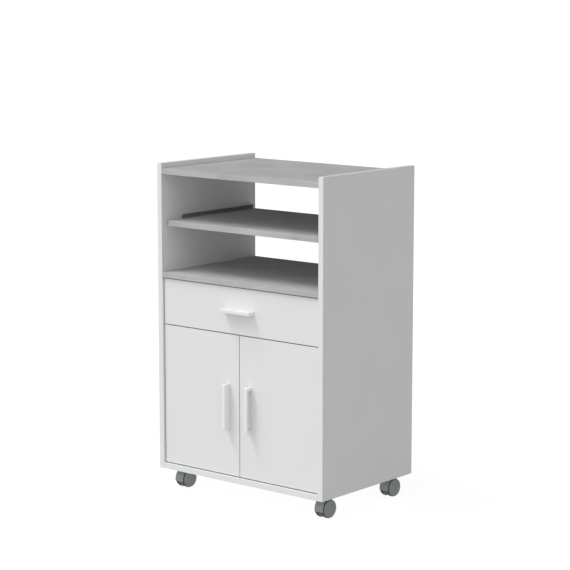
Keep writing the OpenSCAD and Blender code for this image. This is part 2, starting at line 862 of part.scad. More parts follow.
// Small screws of the rails, the pivots, the catches and the caster plates
module fixing_screws() {
    color(steel) in_cart() {
        for (side = [-1, 1]) at_wall(side) {
            for (p = wall_screw_places)
                translate([p[1] == top_pivot_screw_z ? pivot_plate_t : steel_t, p[0], p[1]])
                    rotate([0, 90, 0])
                        pan_screw(fixing_dia, fixing_l, fixing_head_dia, fixing_head_t);
            for (y = pivot_screw_y)
                translate([plate_width / 2, y, bottom_top + pivot_plate_t])
                    pan_screw(fixing_dia, fixing_l, fixing_head_dia, fixing_head_t);
        }
        for (side = [-1, 1])
            translate([side * catch_x, catch_screw_y, bottom_top + 2])
                pan_screw(fixing_dia, fixing_l, fixing_head_dia, fixing_head_t);
        for (place = caster_places)
            translate([place[0], place[1], caster_h - plate_t]) plate_corners()
                mirror([0, 0, 1])
                    pan_screw(caster_screw_dia, caster_screw_l, caster_screw_dia + 3.5, 2);
    }
}

// ---------------------------------------------------------------- casters

caster_x = body_w / 2 - caster_in_x;
caster_places = [[-caster_x, caster_in_y], [caster_x, caster_in_y],
    [-caster_x, body_d - caster_in_y], [caster_x, body_d - caster_in_y]];

// Draws its children at the four screw places of a mounting plate
module plate_corners() {
    reach = plate_side / 2 - plate_hole_in;
    for (x = [-reach, reach], y = [-reach, reach]) translate([x, y, 0]) children();
}

// Mounting plates under the bottom panel, each with its swivel pin
module caster_plates() {
    color(steel) in_cart() for (place = caster_places)
        translate([place[0], place[1], caster_h - plate_t]) {
            difference() {
                translate([-plate_side / 2, -plate_side / 2, 0])
                    cube([plate_side, plate_side, plate_t]);
                plate_corners() translate([0, 0, -cut])
                    cylinder(d = caster_screw_dia + 2 * fitting_play, h = plate_t + 2 * cut);
            }
            translate([0, 0, -swivel_pin_l]) cylinder(d = swivel_dia, h = swivel_pin_l);
        }
}

// Draws its children round the middle of a caster's axle
module at_axle(place) {
    in_cart() translate([caster_places[place][0],
        caster_places[place][1] + caster_trail, wheel_r]) children();
}

// Side view of the hood: a band over the front and the top of the wheels
module hood_band() {
    inner_r = wheel_r + hood_gap;
    outer_r = inner_r + hood_t;
    difference() {
        circle(r = outer_r, $fn = 96);
        circle(r = inner_r, $fn = 96);
        translate([-2 * outer_r, -2 * outer_r]) square([4 * outer_r, 2 * outer_r - hood_skirt]);
        translate([hood_back, -2 * outer_r]) square([2 * outer_r, 4 * outer_r]);
    }
}

// Side view of the core between the wheels, from the band to round the axle
module hood_core() {
    outer_r = wheel_r + hood_gap + hood_t / 2;
    difference() {
        circle(r = outer_r, $fn = 96);
        translate([-2 * outer_r, -2 * outer_r]) square([4 * outer_r, 2 * outer_r - hood_skirt]);
        translate([hood_back, -2 * outer_r]) square([2 * outer_r, 4 * outer_r]);
    }
    circle(d = axle_dia + 11);
}

module caster_hood(place) {
    top = caster_h - plate_t - swivel_gap - wheel_r;
    color(caster_grey) at_axle(place) difference() {
        union() {
            rotate([90, 0, 90]) linear_extrude(hood_w, center = true) hood_band();
            rotate([90, 0, 90]) linear_extrude(caster_core_w, center = true) hood_core();
            translate([0, -caster_trail, wheel_r - 8])
                cylinder(d = caster_core_w, h = top - wheel_r + 8);
        }
        // bore of the swivel pin and of the axle
        translate([0, -caster_trail, top + swivel_gap - swivel_pin_l - 1])
            cylinder(d = swivel_dia + 2 * running, h = swivel_pin_l + cut + 1);
        translate([-twin_w, 0, 0]) x_rod(axle_dia + 2 * running, 2 * twin_w);
    }
}

module caster_axle(place) {
    length = caster_core_w + 2 * (wheel_side_gap + wheel_w - wheel_face_t - 0.8);
    color(steel) at_axle(place) translate([-length / 2, 0, 0]) x_rod(axle_dia, length);
}

// One wheel from its inner face (x = 0) outwards: rounded tread, blind bore,
// and a nearly flat outer face with a raised rim and middle
module wheel() {
    r = wheel_r;
    w = wheel_w;
    bore_r = axle_dia / 2 + running;
    bore_l = w - 0.6 - wheel_face_t;
    rotate([0, 90, 0]) rotate_extrude($fn = 96)
        polygon([[bore_r, 0], [r - 1.5, 0], [r - 0.4, 0.6], [r, 1.8], [r, w - 1.6],
            [r - 0.4, w - 0.5], [r - 1.3, w], [r - 2.8, w], [r - 3.4, w - 0.6],
            [r * 0.34, w - 0.6], [r * 0.32, w - 0.2], [0, w - 0.2], [0, bore_l],
            [bore_r, bore_l]]);
}

module caster_wheels(place) {
    color(caster_grey) at_axle(place) for (side = [0, 1])
        mirror([side, 0, 0]) translate([caster_core_w / 2 + wheel_side_gap, 0, 0]) wheel();
}

// ---------------------------------------------------------------- nodes

left_side_panel();
right_side_panel();
top_board();
counter_board();
bottom_panel();
back_panel();
cupboard_shelf();
shelf_pins();
cam_locks();
cam_bolts();
wood_dowels();
fixing_screws();
tray_rail(-1);  // tray_rail_left
tray_rail(1);  // tray_rail_right
drawer_rail(-1);  // drawer_rail_left
drawer_rail(1);  // drawer_rail_right
tray_front_rollers();
drawer_front_rollers();
tray_board();
tray_runner(-1);  // tray_runner_left
tray_runner(1);  // tray_runner_right
tray_screws();
tray_rear_rollers();
drawer_front();
drawer_side(-1);  // drawer_side_left
drawer_side(1);  // drawer_side_right
drawer_back();
drawer_bottom();
drawer_handle();
drawer_handle_screws();
drawer_runner(-1);  // drawer_runner_left
drawer_runner(1);  // drawer_runner_right
drawer_screws();
drawer_rear_rollers();
door(-1);  // left_door
door_handle(-1);  // left_handle
door_handle_screws(-1);  // left_handle_screws
pivot_bushes(-1);  // left_pivot_bushes
strike_plate(-1);  // left_strike_plate
door(1);  // right_door
door_handle(1);  // right_handle
door_handle_screws(1);  // right_handle_screws
pivot_bushes(1);  // right_pivot_bushes
strike_plate(1);  // right_strike_plate
door_pivots(-1);  // left_pivots
door_pivots(1);  // right_pivots
magnet_catches();
caster_plates();
caster_hood(0);  // front_left_hood
caster_axle(0);  // front_left_axle
caster_wheels(0);  // front_left_wheels
caster_hood(1);  // front_right_hood
caster_axle(1);  // front_right_axle
caster_wheels(1);  // front_right_wheels
caster_hood(2);  // back_left_hood
caster_axle(2);  // back_left_axle
caster_wheels(2);  // back_left_wheels
caster_hood(3);  // back_right_hood
caster_axle(3);  // back_right_axle
caster_wheels(3);  // back_right_wheels
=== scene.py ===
# %% [markdown]
# # A kitchen cart on casters
#
# The cart is a tall open box of melamine boards. It has a bay with a pull-out
# tray, a drawer, a cupboard with two doors, and four twin-wheel casters. The
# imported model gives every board, runner and screw its place. This lesson gives
# each of them its finish, rounds the edges of the boards, models the handles
# and the casters, which need softer shapes, and sets up the floor, the light
# and the camera.

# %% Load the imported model
import json
import math

import bmesh
import bpy
from mathutils import Matrix, Vector


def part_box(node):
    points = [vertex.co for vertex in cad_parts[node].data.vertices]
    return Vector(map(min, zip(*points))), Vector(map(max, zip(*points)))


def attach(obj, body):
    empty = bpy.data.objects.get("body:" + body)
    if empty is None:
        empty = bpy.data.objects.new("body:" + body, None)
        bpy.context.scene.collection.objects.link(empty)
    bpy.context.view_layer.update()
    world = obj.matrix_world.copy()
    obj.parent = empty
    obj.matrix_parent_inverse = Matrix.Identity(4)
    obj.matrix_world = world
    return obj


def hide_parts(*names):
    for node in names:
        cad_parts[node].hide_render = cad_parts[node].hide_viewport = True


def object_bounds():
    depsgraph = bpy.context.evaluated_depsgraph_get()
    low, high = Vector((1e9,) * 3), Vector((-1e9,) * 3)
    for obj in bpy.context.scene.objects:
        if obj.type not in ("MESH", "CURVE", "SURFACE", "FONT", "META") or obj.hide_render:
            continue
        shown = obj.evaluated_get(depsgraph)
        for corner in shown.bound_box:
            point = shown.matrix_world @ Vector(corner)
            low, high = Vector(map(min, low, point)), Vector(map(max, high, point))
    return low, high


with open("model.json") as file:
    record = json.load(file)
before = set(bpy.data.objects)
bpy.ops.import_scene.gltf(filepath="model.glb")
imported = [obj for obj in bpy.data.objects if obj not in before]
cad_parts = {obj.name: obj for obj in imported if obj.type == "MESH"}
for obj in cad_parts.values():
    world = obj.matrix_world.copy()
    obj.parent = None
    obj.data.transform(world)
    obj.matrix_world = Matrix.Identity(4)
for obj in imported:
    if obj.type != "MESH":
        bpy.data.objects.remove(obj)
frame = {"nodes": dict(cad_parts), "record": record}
cad_box = [[float(v) for v in corner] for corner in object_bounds()]
print("CAD box:", cad_box)

# %% [markdown]
# ## Camera
#
# The photographer stood to the right of the front, a little above the cart and
# far from it, with a long lens. The place comes from fitting the cart's known
# edges to the picture. Rotating by 90 degrees less the pitch tips a camera from
# looking straight down to looking almost level.

# %% Camera
CAMERA_PLACE = (3.5188, -4.2277, 1.4730)
CAMERA_YAW = math.radians(39.717)
CAMERA_PITCH = math.radians(9.098)
CAMERA_LENS = 126.7
CAMERA_SENSOR = 36.0
CAMERA_REACH = 100.0

bpy.ops.object.camera_add(
    location=CAMERA_PLACE,
    rotation=(math.pi / 2 - CAMERA_PITCH, 0.0, CAMERA_YAW),
)
camera = bpy.context.object
camera.name = "view_camera"
camera.data.lens = CAMERA_LENS
camera.data.sensor_width = CAMERA_SENSOR
camera.data.clip_end = CAMERA_REACH
bpy.context.scene.camera = camera
print("camera at", tuple(round(v, 3) for v in camera.location))

# %% [markdown]
# ## Nodes and groups
#
# Every finish is a sheet of nodes. The first helper adds one node at a place on
# the sheet, sets its options, and sets its inputs by name. An effect that
# several finishes share is a node group, a small sheet of its own with named
# sockets, and the second helper starts one.


# %% Node helpers
def add_node(tree, kind, at, inputs=None, **settings):
    """Adds a node of a kind at a place on the sheet and sets it up."""
    node = tree.nodes.new(kind)
    node.location = at
    for name, value in settings.items():
        setattr(node, name, value)
    for name, value in (inputs or {}).items():
        node.inputs[name].default_value = value
    return node


def new_group(name, inputs, outputs):
    """Starts a node group of number sockets, the inputs with their values."""
    tree = bpy.data.node_groups.new(name, "ShaderNodeTree")
    number = "NodeSocketFloat"
    for label, value in inputs.items():
        socket = tree.interface.new_socket(label, in_out="INPUT", socket_type=number)
        socket.default_value = value
    for label in outputs:
        tree.interface.new_socket(label, in_out="OUTPUT", socket_type=number)
    start = add_node(tree, "NodeGroupInput", (-900, 0))
    end = add_node(tree, "NodeGroupOutput", (700, 0))
    return tree, start, end


# %% [markdown]
# ## Surface grain
#
# Melamine and moulded plastic have a very fine, even skin, much finer than a
# millimetre. One group makes it for all of them: a small noise gives the
# height, and a wide, weak noise gives a mask for slow changes of gloss. Object
# coordinates are in metres here, so a scale of 1500 means about 1500 bumps in
# a metre.


# %% Fine skin group
def make_fine_skin():
    """The height of a fine skin, and a mask that changes slowly."""
    tree, start, end = new_group(
        "fine_skin", {"Grains per metre": 1500.0}, ("Height", "Slow mask")
    )
    place = add_node(tree, "ShaderNodeTexCoord", (-700, 200))
    fine = add_node(
        tree, "ShaderNodeTexNoise", (-300, 150), {"Detail": 2.0, "Roughness": 0.6}
    )
    slow = add_node(
        tree, "ShaderNodeTexNoise", (-300, -200), {"Scale": 7.0, "Detail": 3.0}
    )
    tree.links.new(place.outputs["Object"], fine.inputs["Vector"])
    tree.links.new(place.outputs["Object"], slow.inputs["Vector"])
    tree.links.new(start.outputs["Grains per metre"], fine.inputs["Scale"])
    tree.links.new(fine.outputs["Fac"], end.inputs["Height"])
    tree.links.new(slow.outputs["Fac"], end.inputs["Slow mask"])
    return tree


fine_skin = make_fine_skin()
print("group:", fine_skin.name)

# %% [markdown]
# ## Streaks of the grey boards
#
# The tray, the counter and the top have a printed decor: light cement grey
# with fine streaks that run along each board, like a limed oak. Noise that is
# squeezed across the streaks and stretched along them makes the grain. A broad
# and a thin streak are mixed first, and then a few soft clouds go over them.


# %% Streak group
def make_streaks():
    """The tone of the print, and the height of its streaks."""
    tree, start, end = new_group(
        "board_streaks",
        {"Along": 6.0, "Across": 260.0, "Clouds": 0.35},
        ("Tone", "Height"),
    )
    place = add_node(tree, "ShaderNodeTexCoord", (-900, 300))
    stretch = add_node(tree, "ShaderNodeCombineXYZ", (-900, -150))
    squeezed = add_node(
        tree, "ShaderNodeVectorMath", (-650, 200), operation="MULTIPLY"
    )
    tree.links.new(start.outputs["Along"], stretch.inputs["X"])
    tree.links.new(start.outputs["Across"], stretch.inputs["Y"])
    tree.links.new(start.outputs["Across"], stretch.inputs["Z"])
    tree.links.new(place.outputs["Object"], squeezed.inputs[0])
    tree.links.new(stretch.outputs["Vector"], squeezed.inputs[1])
    broad = add_node(
        tree,
        "ShaderNodeTexNoise",
        (-400, 300),
        {"Scale": 1.0, "Detail": 4.0, "Roughness": 0.65, "Distortion": 0.4},
    )
    thin = add_node(
        tree,
        "ShaderNodeTexNoise",
        (-400, 0),
        {"Scale": 3.2, "Detail": 3.0, "Roughness": 0.7},
    )
    cloud = add_node(
        tree, "ShaderNodeTexNoise", (-400, -300), {"Scale": 9.0, "Detail": 4.0}
    )
    tree.links.new(squeezed.outputs["Vector"], broad.inputs["Vector"])
    tree.links.new(squeezed.outputs["Vector"], thin.inputs["Vector"])
    tree.links.new(place.outputs["Object"], cloud.inputs["Vector"])
    streaks = add_node(
        tree, "ShaderNodeMix", (-100, 200), {"Factor": 0.4}, data_type="FLOAT"
    )
    tree.links.new(broad.outputs["Fac"], streaks.inputs["A"])
    tree.links.new(thin.outputs["Fac"], streaks.inputs["B"])
    tone = add_node(tree, "ShaderNodeMix", (150, 100), data_type="FLOAT")
    tree.links.new(start.outputs["Clouds"], tone.inputs["Factor"])
    tree.links.new(streaks.outputs["Result"], tone.inputs["A"])
    tree.links.new(cloud.outputs["Fac"], tone.inputs["B"])
    tree.links.new(tone.outputs["Result"], end.inputs["Tone"])
    tree.links.new(streaks.outputs["Result"], end.inputs["Height"])
    return tree


board_streaks = make_streaks()
print("group:", board_streaks.name)

# %% [markdown]
# ## Helpers for finishes
#
# A finish starts with its Principled shader. A value that is the same all over
# goes straight on the shader's own socket, because the export reads it there.
# A group is then placed in the finish with its own values. Its masks run the
# roughness and mix two tones of the base colour, and a Bump node turns its
# height into small changes of the shader's normal.


# %% Finish helpers
def opaque(color):
    """A colour with full opacity, as sockets and ramps want it."""
    return (*color, 1.0)


def new_finish(name, **values):
    """Starts a material and returns it with its node tree and its shader."""
    material = bpy.data.materials.new(name)
    material.use_nodes = True
    tree = material.node_tree
    shader = tree.nodes["Principled BSDF"]
    for socket, value in values.items():
        shader.inputs[socket.replace("_", " ")].default_value = value
    return material, tree, shader


def use_group(tree, group, inputs=None):
    """Places a node group in a material with the material's own values."""
    return add_node(tree, "ShaderNodeGroup", (-900, 0), inputs, node_tree=group)


def set_gloss(tree, shader, mask, roughness):
    """Lets a mask run the shader's roughness between the two of a pair."""
    low, high = roughness
    gloss = add_node(
        tree, "ShaderNodeMapRange", (-600, -50), {"To Min": low, "To Max": high}
    )
    tree.links.new(mask, gloss.inputs["Value"])
    tree.links.new(gloss.outputs["Result"], shader.inputs["Roughness"])


def mix_colors(tree, at, mask, light, dark):
    """Mixes two colours by a mask and returns the node."""
    mix = add_node(
        tree,
        "ShaderNodeMix",
        at,
        {"A": opaque(light), "B": opaque(dark)},
        data_type="RGBA",
    )
    tree.links.new(mask, mix.inputs["Factor"])
    return mix


def add_bump(tree, shader, height, distance, strength=1.0):
    """Feeds a height through a Bump node to the shader's normal."""
    bump = add_node(
        tree,
        "ShaderNodeBump",
        (-250, -300),
        {"Distance": distance, "Strength": strength},
    )
    tree.links.new(height, bump.inputs["Height"])
    tree.links.new(bump.outputs["Normal"], shader.inputs["Normal"])


# %% [markdown]
# ## White melamine
#
# The white boards are a clean satin white, almost even in colour. The finish
# drifts a little between two tones and two degrees of gloss, and the fine skin
# breaks its reflections. The handles and the fittings need the same with other
# values, so one maker builds them all.


# %% White melamine
def make_plain_finish(name, light, dark, roughness, grains, depth, **values):
    """A finish with a fine skin that drifts between two tones and glosses."""
    material, tree, shader = new_finish(name, **values)
    skin = use_group(tree, fine_skin, {"Grains per metre": grains})
    slow_mask = skin.outputs["Slow mask"]
    tint = mix_colors(tree, (-600, 250), slow_mask, light, dark)
    tree.links.new(tint.outputs["Result"], shader.inputs["Base Color"])
    set_gloss(tree, shader, slow_mask, roughness)
    add_bump(tree, shader, skin.outputs["Height"], depth)
    return material


white_board = make_plain_finish(
    "white_melamine",
    light=(0.815, 0.818, 0.825),
    dark=(0.79, 0.79, 0.795),
    roughness=(0.34, 0.46),
    grains=900.0,
    depth=0.00002,
)
print("white board:", white_board.name)

# %% [markdown]
# ## Handles and casters
#
# The handles are glossy white mouldings. A coat, a second thin skin over the
# first, gives them their clear shine. The casters are a greenish grey plastic
# round a darker, duller tread, both with a slight moulded grain. The tread's
# near-black tone is painted shade for the shadowed gap between hood and wheel.

# %% Finishes of the handles and the casters
white_gloss = make_plain_finish(
    "white_gloss_handle",
    light=(0.88, 0.883, 0.886),
    dark=(0.86, 0.863, 0.867),
    roughness=(0.16, 0.24),
    grains=600.0,
    depth=0.000008,
    Coat_Weight=0.3,
    Coat_Roughness=0.08,
)
caster_plastic = make_plain_finish(
    "caster_plastic",
    light=(0.31, 0.345, 0.337),
    dark=(0.26, 0.295, 0.286),
    roughness=(0.38, 0.5),
    grains=2200.0,
    depth=0.00003,
)
# The tread's near-black tone is painted shade, standing in for the shadow in the gap under
# the hood.
tread_painted_shade = make_plain_finish(
    "tread_painted_shade",
    light=(0.06, 0.068, 0.066),
    dark=(0.045, 0.052, 0.05),
    roughness=(0.5, 0.6),
    grains=1600.0,
    depth=0.00004,
)
print("mouldings:", white_gloss.name, caster_plastic.name, tread_painted_shade.name)

# %% [markdown]
# ## Fittings
#
# Rollers and bushes are milky nylon, and the runners are dark enamelled steel.
# Screws, pins and pivots are zinc plated, with the cloudy patches that plating
# has, and the dowels are beech.

# %% Finishes of the fittings
nylon = make_plain_finish(
    "milky_nylon",
    light=(0.74, 0.73, 0.69),
    dark=(0.68, 0.67, 0.63),
    roughness=(0.35, 0.45),
    grains=1500.0,
    depth=0.00001,
)
dark_steel = make_plain_finish(
    "dark_enamelled_steel",
    light=(0.21, 0.21, 0.214),
    dark=(0.17, 0.17, 0.174),
    roughness=(0.38, 0.5),
    grains=1200.0,
    depth=0.00002,
)
zinc_steel = make_plain_finish(
    "zinc_plated_steel",
    light=(0.66, 0.67, 0.69),
    dark=(0.5, 0.51, 0.53),
    roughness=(0.28, 0.42),
    grains=1800.0,
    depth=0.00001,
    Metallic=1.0,
)
beech = make_plain_finish(
    "beech_dowel",
    light=(0.58, 0.40, 0.23),
    dark=(0.46, 0.30, 0.16),
    roughness=(0.55, 0.7),
    grains=800.0,
    depth=0.00005,
)
print("fittings:", nylon.name, dark_steel.name, zinc_steel.name, beech.name)

# %% [markdown]
# ## Grey melamine
#
# The grey boards use the streaks for colour and, much weaker, for height. A
# colour ramp turns the tone into the three greys of the print: a new ramp has
# two stops, and a third goes between them. The dark streaks are a little
# rougher than the light ones.

# %% Grey melamine
GREYS = {  # from a place on the ramp to its colour
    0.34: (0.36, 0.36, 0.352),
    0.5: (0.47, 0.47, 0.465),
    0.66: (0.56, 0.56, 0.555),
}
STREAK_ROUGHNESS = (0.62, 0.48)
STREAK_DEPTH = 0.0001
STREAK_STRENGTH = 0.5


def make_grey_board():
    """The printed grey of the tray, the counter and the top."""
    material, tree, shader = new_finish("cement_grey_melamine")
    grain = use_group(tree, board_streaks)
    ramp = add_node(tree, "ShaderNodeValToRGB", (-650, 200))
    stops = ramp.color_ramp.elements
    stops.new(0.5)
    for stop, (place, color) in zip(stops, GREYS.items()):
        stop.position = place
        stop.color = opaque(color)
    tree.links.new(grain.outputs["Tone"], ramp.inputs["Fac"])
    tree.links.new(ramp.outputs["Color"], shader.inputs["Base Color"])
    set_gloss(tree, shader, grain.outputs["Tone"], STREAK_ROUGHNESS)
    add_bump(tree, shader, grain.outputs["Height"], STREAK_DEPTH, STREAK_STRENGTH)
    return material


grey_board = make_grey_board()
print("grey board:", grey_board.name)

# %% [markdown]
# ## Hardboard
#
# The panel behind the drawer and the cupboard is white in front and bare brown
# fibre behind. The surface's own direction, read from the geometry, chooses
# between the two: where its normal points back, the fibre shows.

# %% Hardboard
HARDBOARD_WHITE = (0.75, 0.75, 0.74)
HARDBOARD_ROUGHNESS = 0.6
FIBRE_LIGHT = (0.44, 0.31, 0.20)
FIBRE_DARK = (0.36, 0.25, 0.155)
FIBRE_GRAINS = 500.0
FIBRE_DEPTH = 0.00006
REARWARD = 0.5  # least part of a normal that points back


def make_hardboard():
    """White hardboard whose rear is bare fibre."""
    material, tree, shader = new_finish("hardboard", Roughness=HARDBOARD_ROUGHNESS)
    skin = use_group(tree, fine_skin, {"Grains per metre": FIBRE_GRAINS})
    grain = skin.outputs["Height"]
    fibre = mix_colors(tree, (-600, -100), grain, FIBRE_LIGHT, FIBRE_DARK)
    facing = add_node(tree, "ShaderNodeNewGeometry", (-1100, 350))
    parts = add_node(tree, "ShaderNodeSeparateXYZ", (-900, 350))
    behind = add_node(
        tree, "ShaderNodeMath", (-700, 350), {1: REARWARD}, operation="GREATER_THAN"
    )
    side = add_node(
        tree,
        "ShaderNodeMix",
        (-350, 200),
        {"A": opaque(HARDBOARD_WHITE)},
        data_type="RGBA",
    )
    tree.links.new(facing.outputs["Normal"], parts.inputs["Vector"])
    tree.links.new(parts.outputs["Y"], behind.inputs[0])
    tree.links.new(behind.outputs["Value"], side.inputs["Factor"])
    tree.links.new(fibre.outputs["Result"], side.inputs["B"])
    tree.links.new(side.outputs["Result"], shader.inputs["Base Color"])
    add_bump(tree, shader, grain, FIBRE_DEPTH)
    return material


hardboard = make_hardboard()
print("hardboard:", hardboard.name)

# %% [markdown]
# ## Give each node its finish
#
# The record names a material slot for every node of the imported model. A table
# from slot to finish dresses them all, and a slot that the table lacks would
# stop the loop with its name.

# %% Dress the nodes
FINISH_OF_SLOT = {
    "white_board": white_board,
    "grey_board": grey_board,
    "white_hardboard": hardboard,
    "beech": beech,
    "zinc_steel": zinc_steel,
    "dark_steel": dark_steel,
    "white_gloss": white_gloss,
    "white_nylon": nylon,
    "caster_plastic": caster_plastic,
}
slot_of_node = {
    part["node"]: part["material_slot"] for part in frame["record"]["subparts"]
}


def dress(piece, finish):
    """Gives a piece one finish all over."""
    piece.data.materials.clear()
    piece.data.materials.append(finish)


for name, node in frame["nodes"].items():
    dress(node, FINISH_OF_SLOT[slot_of_node[name]])
print("dressed:", len(frame["nodes"]), "nodes")

# %% [markdown]
# ## Helpers for selecting
#
# An operator works on whatever is selected, so the helpers first clear the
# selection and then pick edges by where their ends are. A new piece rides on
# the body of the node that it stands for, and takes that node's slot.

# %% Selecting and placing
MERGE = 1e-6  # points this close are one point, in metres
NEAR = 1e-5  # points this close to a plane lie on it
SMOOTH_ANGLE = math.radians(35)


def clear_selection():
    """Leaves nothing selected."""
    bpy.ops.object.select_all(action="DESELECT")


def use_alone(piece):
    """Makes a piece the only selected one and the active one."""
    clear_selection()
    piece.select_set(True)
    bpy.context.view_layer.objects.active = piece


def pick_edges(piece, wanted):
    """In edit mode, selects the edges whose two ends are wanted."""
    bpy.ops.mesh.select_mode(type="EDGE")
    bpy.ops.mesh.select_all(action="DESELECT")
    mesh = bmesh.from_edit_mesh(piece.data)
    for edge in mesh.edges:
        edge.select_set(bool(wanted(edge.verts[0].co, edge.verts[1].co)))
    bmesh.update_edit_mesh(piece.data)


def put_in(piece, body, node):
    """Lets a dressed piece stand for a node on its body."""
    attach(piece, body)
    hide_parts(node)


# %% [markdown]
# ## Boards with trimmed edges
#
# The edge band of a melamine board is trimmed with a small radius, and that
# thin round line catches the light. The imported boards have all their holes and
# grooves, but their edges are perfectly sharp. Each board is copied, its loose
# triangles are merged and its flat faces made whole again, and only the
# outermost edges are bevelled, so that the holes keep their shape. Normals
# weighted by area keep the wide faces flat next to the round edges.

# %% Boards
BAND_RADIUS = 0.0006
BAND_STEPS = 3
BAND_SLOTS = ("white_board", "grey_board")
FLAT_ANGLE = math.radians(0.5)
body_of_node = {
    node: body
    for body, members in frame["record"]["behaviour"]["bodies"].items()
    for node in members
}


def on_box_edge(a, b, low, high):
    """Whether the line from a to b runs along one of a box's twelve edges."""
    shared = sum(
        abs(a[i] - b[i]) < MERGE
        and min(abs(a[i] - low[i]), abs(a[i] - high[i])) < NEAR
        for i in range(3)
    )
    return shared == 2


def make_board(node):
    """Copies a packed board, rounds its outline and lets it stand for it."""
    low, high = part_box(node)
    board = bpy.data.objects.new(node + "_banded", frame["nodes"][node].data.copy())
    bpy.context.collection.objects.link(board)
    use_alone(board)
    bpy.ops.object.mode_set(mode="EDIT")
    bpy.ops.mesh.select_all(action="SELECT")
    bpy.ops.mesh.remove_doubles(threshold=MERGE)
    bpy.ops.mesh.customdata_custom_splitnormals_clear()
    bpy.ops.mesh.dissolve_limited(angle_limit=FLAT_ANGLE)
    pick_edges(board, lambda a, b: on_box_edge(a, b, low, high))
    bpy.ops.mesh.bevel(offset=BAND_RADIUS, segments=BAND_STEPS, affect="EDGES")
    bpy.ops.object.mode_set(mode="OBJECT")
    bpy.ops.object.shade_smooth_by_angle(angle=SMOOTH_ANGLE)
    weighted = board.modifiers.new("flat_faces", "WEIGHTED_NORMAL")
    weighted.keep_sharp = True
    bpy.ops.object.modifier_apply(modifier=weighted.name)
    put_in(board, body_of_node[node], node)
    return board


boards = [
    make_board(node) for node, slot in slot_of_node.items() if slot in BAND_SLOTS
]
print("boards with trimmed edges:", len(boards))

# %% [markdown]
# ## Helpers for shaping
#
# A moulded piece starts from a primitive and is shaped in edit mode. Its faces
# are picked by where they are and which way they face. A plane can split the
# whole mesh, which gives new edges exactly where they are wanted. Settling a
# piece moves its place, turn and scale into its mesh, and softening it rounds
# every sharp edge, as a mould needs.

# %% Shaping
FACING = 0.9  # least part of a normal that points a wanted way
SHARP_ANGLE = math.radians(40)


def settle(piece):
    """Moves a piece's place, turn and scale into its mesh."""
    use_alone(piece)
    bpy.ops.object.transform_apply(location=True, rotation=True, scale=True)


def pick_faces(piece, wanted):
    """In edit mode, selects the faces whose middle and normal are wanted."""
    bpy.ops.mesh.select_mode(type="FACE")
    bpy.ops.mesh.select_all(action="DESELECT")
    mesh = bmesh.from_edit_mesh(piece.data)
    for face in mesh.faces:
        face.select_set(bool(wanted(face.calc_center_median(), face.normal)))
    bmesh.update_edit_mesh(piece.data)


def cut_plane(point, normal, **settings):
    """In edit mode, splits the whole mesh along a plane."""
    bpy.ops.mesh.select_all(action="SELECT")
    bpy.ops.mesh.bisect(plane_co=point, plane_no=normal, **settings)


def soften(piece, width, segments=2):
    """Rounds the sharp edges with an applied bevel and shades them smooth."""
    use_alone(piece)
    bevel = piece.modifiers.new("soft_edges", "BEVEL")
    bevel.width = width
    bevel.segments = segments
    bevel.limit_method = "ANGLE"
    bevel.angle_limit = SHARP_ANGLE
    bpy.ops.object.modifier_apply(modifier=bevel.name)
    bpy.ops.object.shade_smooth_by_angle(angle=SMOOTH_ANGLE)


# %% [markdown]
# ## Handles
#
# Each handle is one moulding, a flat shell that is closed on top, in front and
# at both ends, with the hollow for the fingers under it. A block with four
# cuts gives the faces that bound the hollow. The middle of its underside is
# pushed in, and what is left at the back, where the shell stands on the
# front, is deleted. The two outer corners get a large radius, and then all
# edges a small one. The handles of the doors are the same shape, longer, and
# turned so that they open towards the hinges.

# %% Handles
HANDLE_LIP = 0.003
HANDLE_PLATE = 0.0025
HANDLE_END = 0.009
HANDLE_CORNER = 0.002
HANDLE_CORNER_STEPS = 5
HANDLE_EDGE = 0.0007


def make_handle(name, body, node, turn):
    """Models a handle lying flat, then turns it and puts it in its place."""
    low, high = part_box(node)
    length = max(high.x - low.x, high.z - low.z)
    thick = min(high.x - low.x, high.z - low.z)
    reach = high.y - low.y
    inner = length / 2 - HANDLE_END
    ceiling = thick / 2 - HANDLE_PLATE
    lip = HANDLE_LIP - reach

    # A block with its back at the origin and its two outer corners rounded
    clear_selection()
    bpy.ops.mesh.primitive_cube_add(size=1.0, location=(0.0, -reach / 2, 0.0))
    piece = bpy.context.object
    piece.name = name
    piece.scale = (length, reach, thick)
    settle(piece)
    bpy.ops.object.mode_set(mode="EDIT")
    pick_edges(
        piece,
        lambda a, b: abs(a.z - b.z) > thick / 2 and max(a.y, b.y) < -reach / 2,
    )
    bpy.ops.mesh.bevel(
        offset=HANDLE_CORNER, segments=HANDLE_CORNER_STEPS, affect="EDGES"
    )

    # Four cuts bound the hollow, and its floor is pushed up to the plate
    cut_plane((inner, 0.0, 0.0), (1.0, 0.0, 0.0))
    cut_plane((-inner, 0.0, 0.0), (1.0, 0.0, 0.0))
    cut_plane((0.0, lip, 0.0), (0.0, 1.0, 0.0))
    cut_plane((0.0, 0.0, ceiling), (0.0, 0.0, 1.0))
    pick_faces(piece, lambda c, n: n.z < -FACING and abs(c.x) < inner and c.y > lip)
    bpy.ops.mesh.extrude_region_move(
        TRANSFORM_OT_translate={"value": (0.0, 0.0, thick - HANDLE_PLATE)}
    )

    # The wall left between the hollow and the front goes, and the seam closes
    pick_faces(
        piece, lambda c, n: c.y > -MERGE and abs(c.x) < inner and c.z < ceiling
    )
    bpy.ops.mesh.delete(type="FACE")
    bpy.ops.mesh.select_all(action="SELECT")
    bpy.ops.mesh.remove_doubles(threshold=MERGE)
    bpy.ops.mesh.normals_make_consistent(inside=False)
    bpy.ops.object.mode_set(mode="OBJECT")
    soften(piece, HANDLE_EDGE, segments=3)

    piece.rotation_euler = (0.0, turn, 0.0)
    piece.location = ((low.x + high.x) / 2, high.y, (low.z + high.z) / 2)
    settle(piece)
    dress(piece, white_gloss)
    put_in(piece, body, node)
    print(name, "size", [round(v, 4) for v in piece.dimensions])


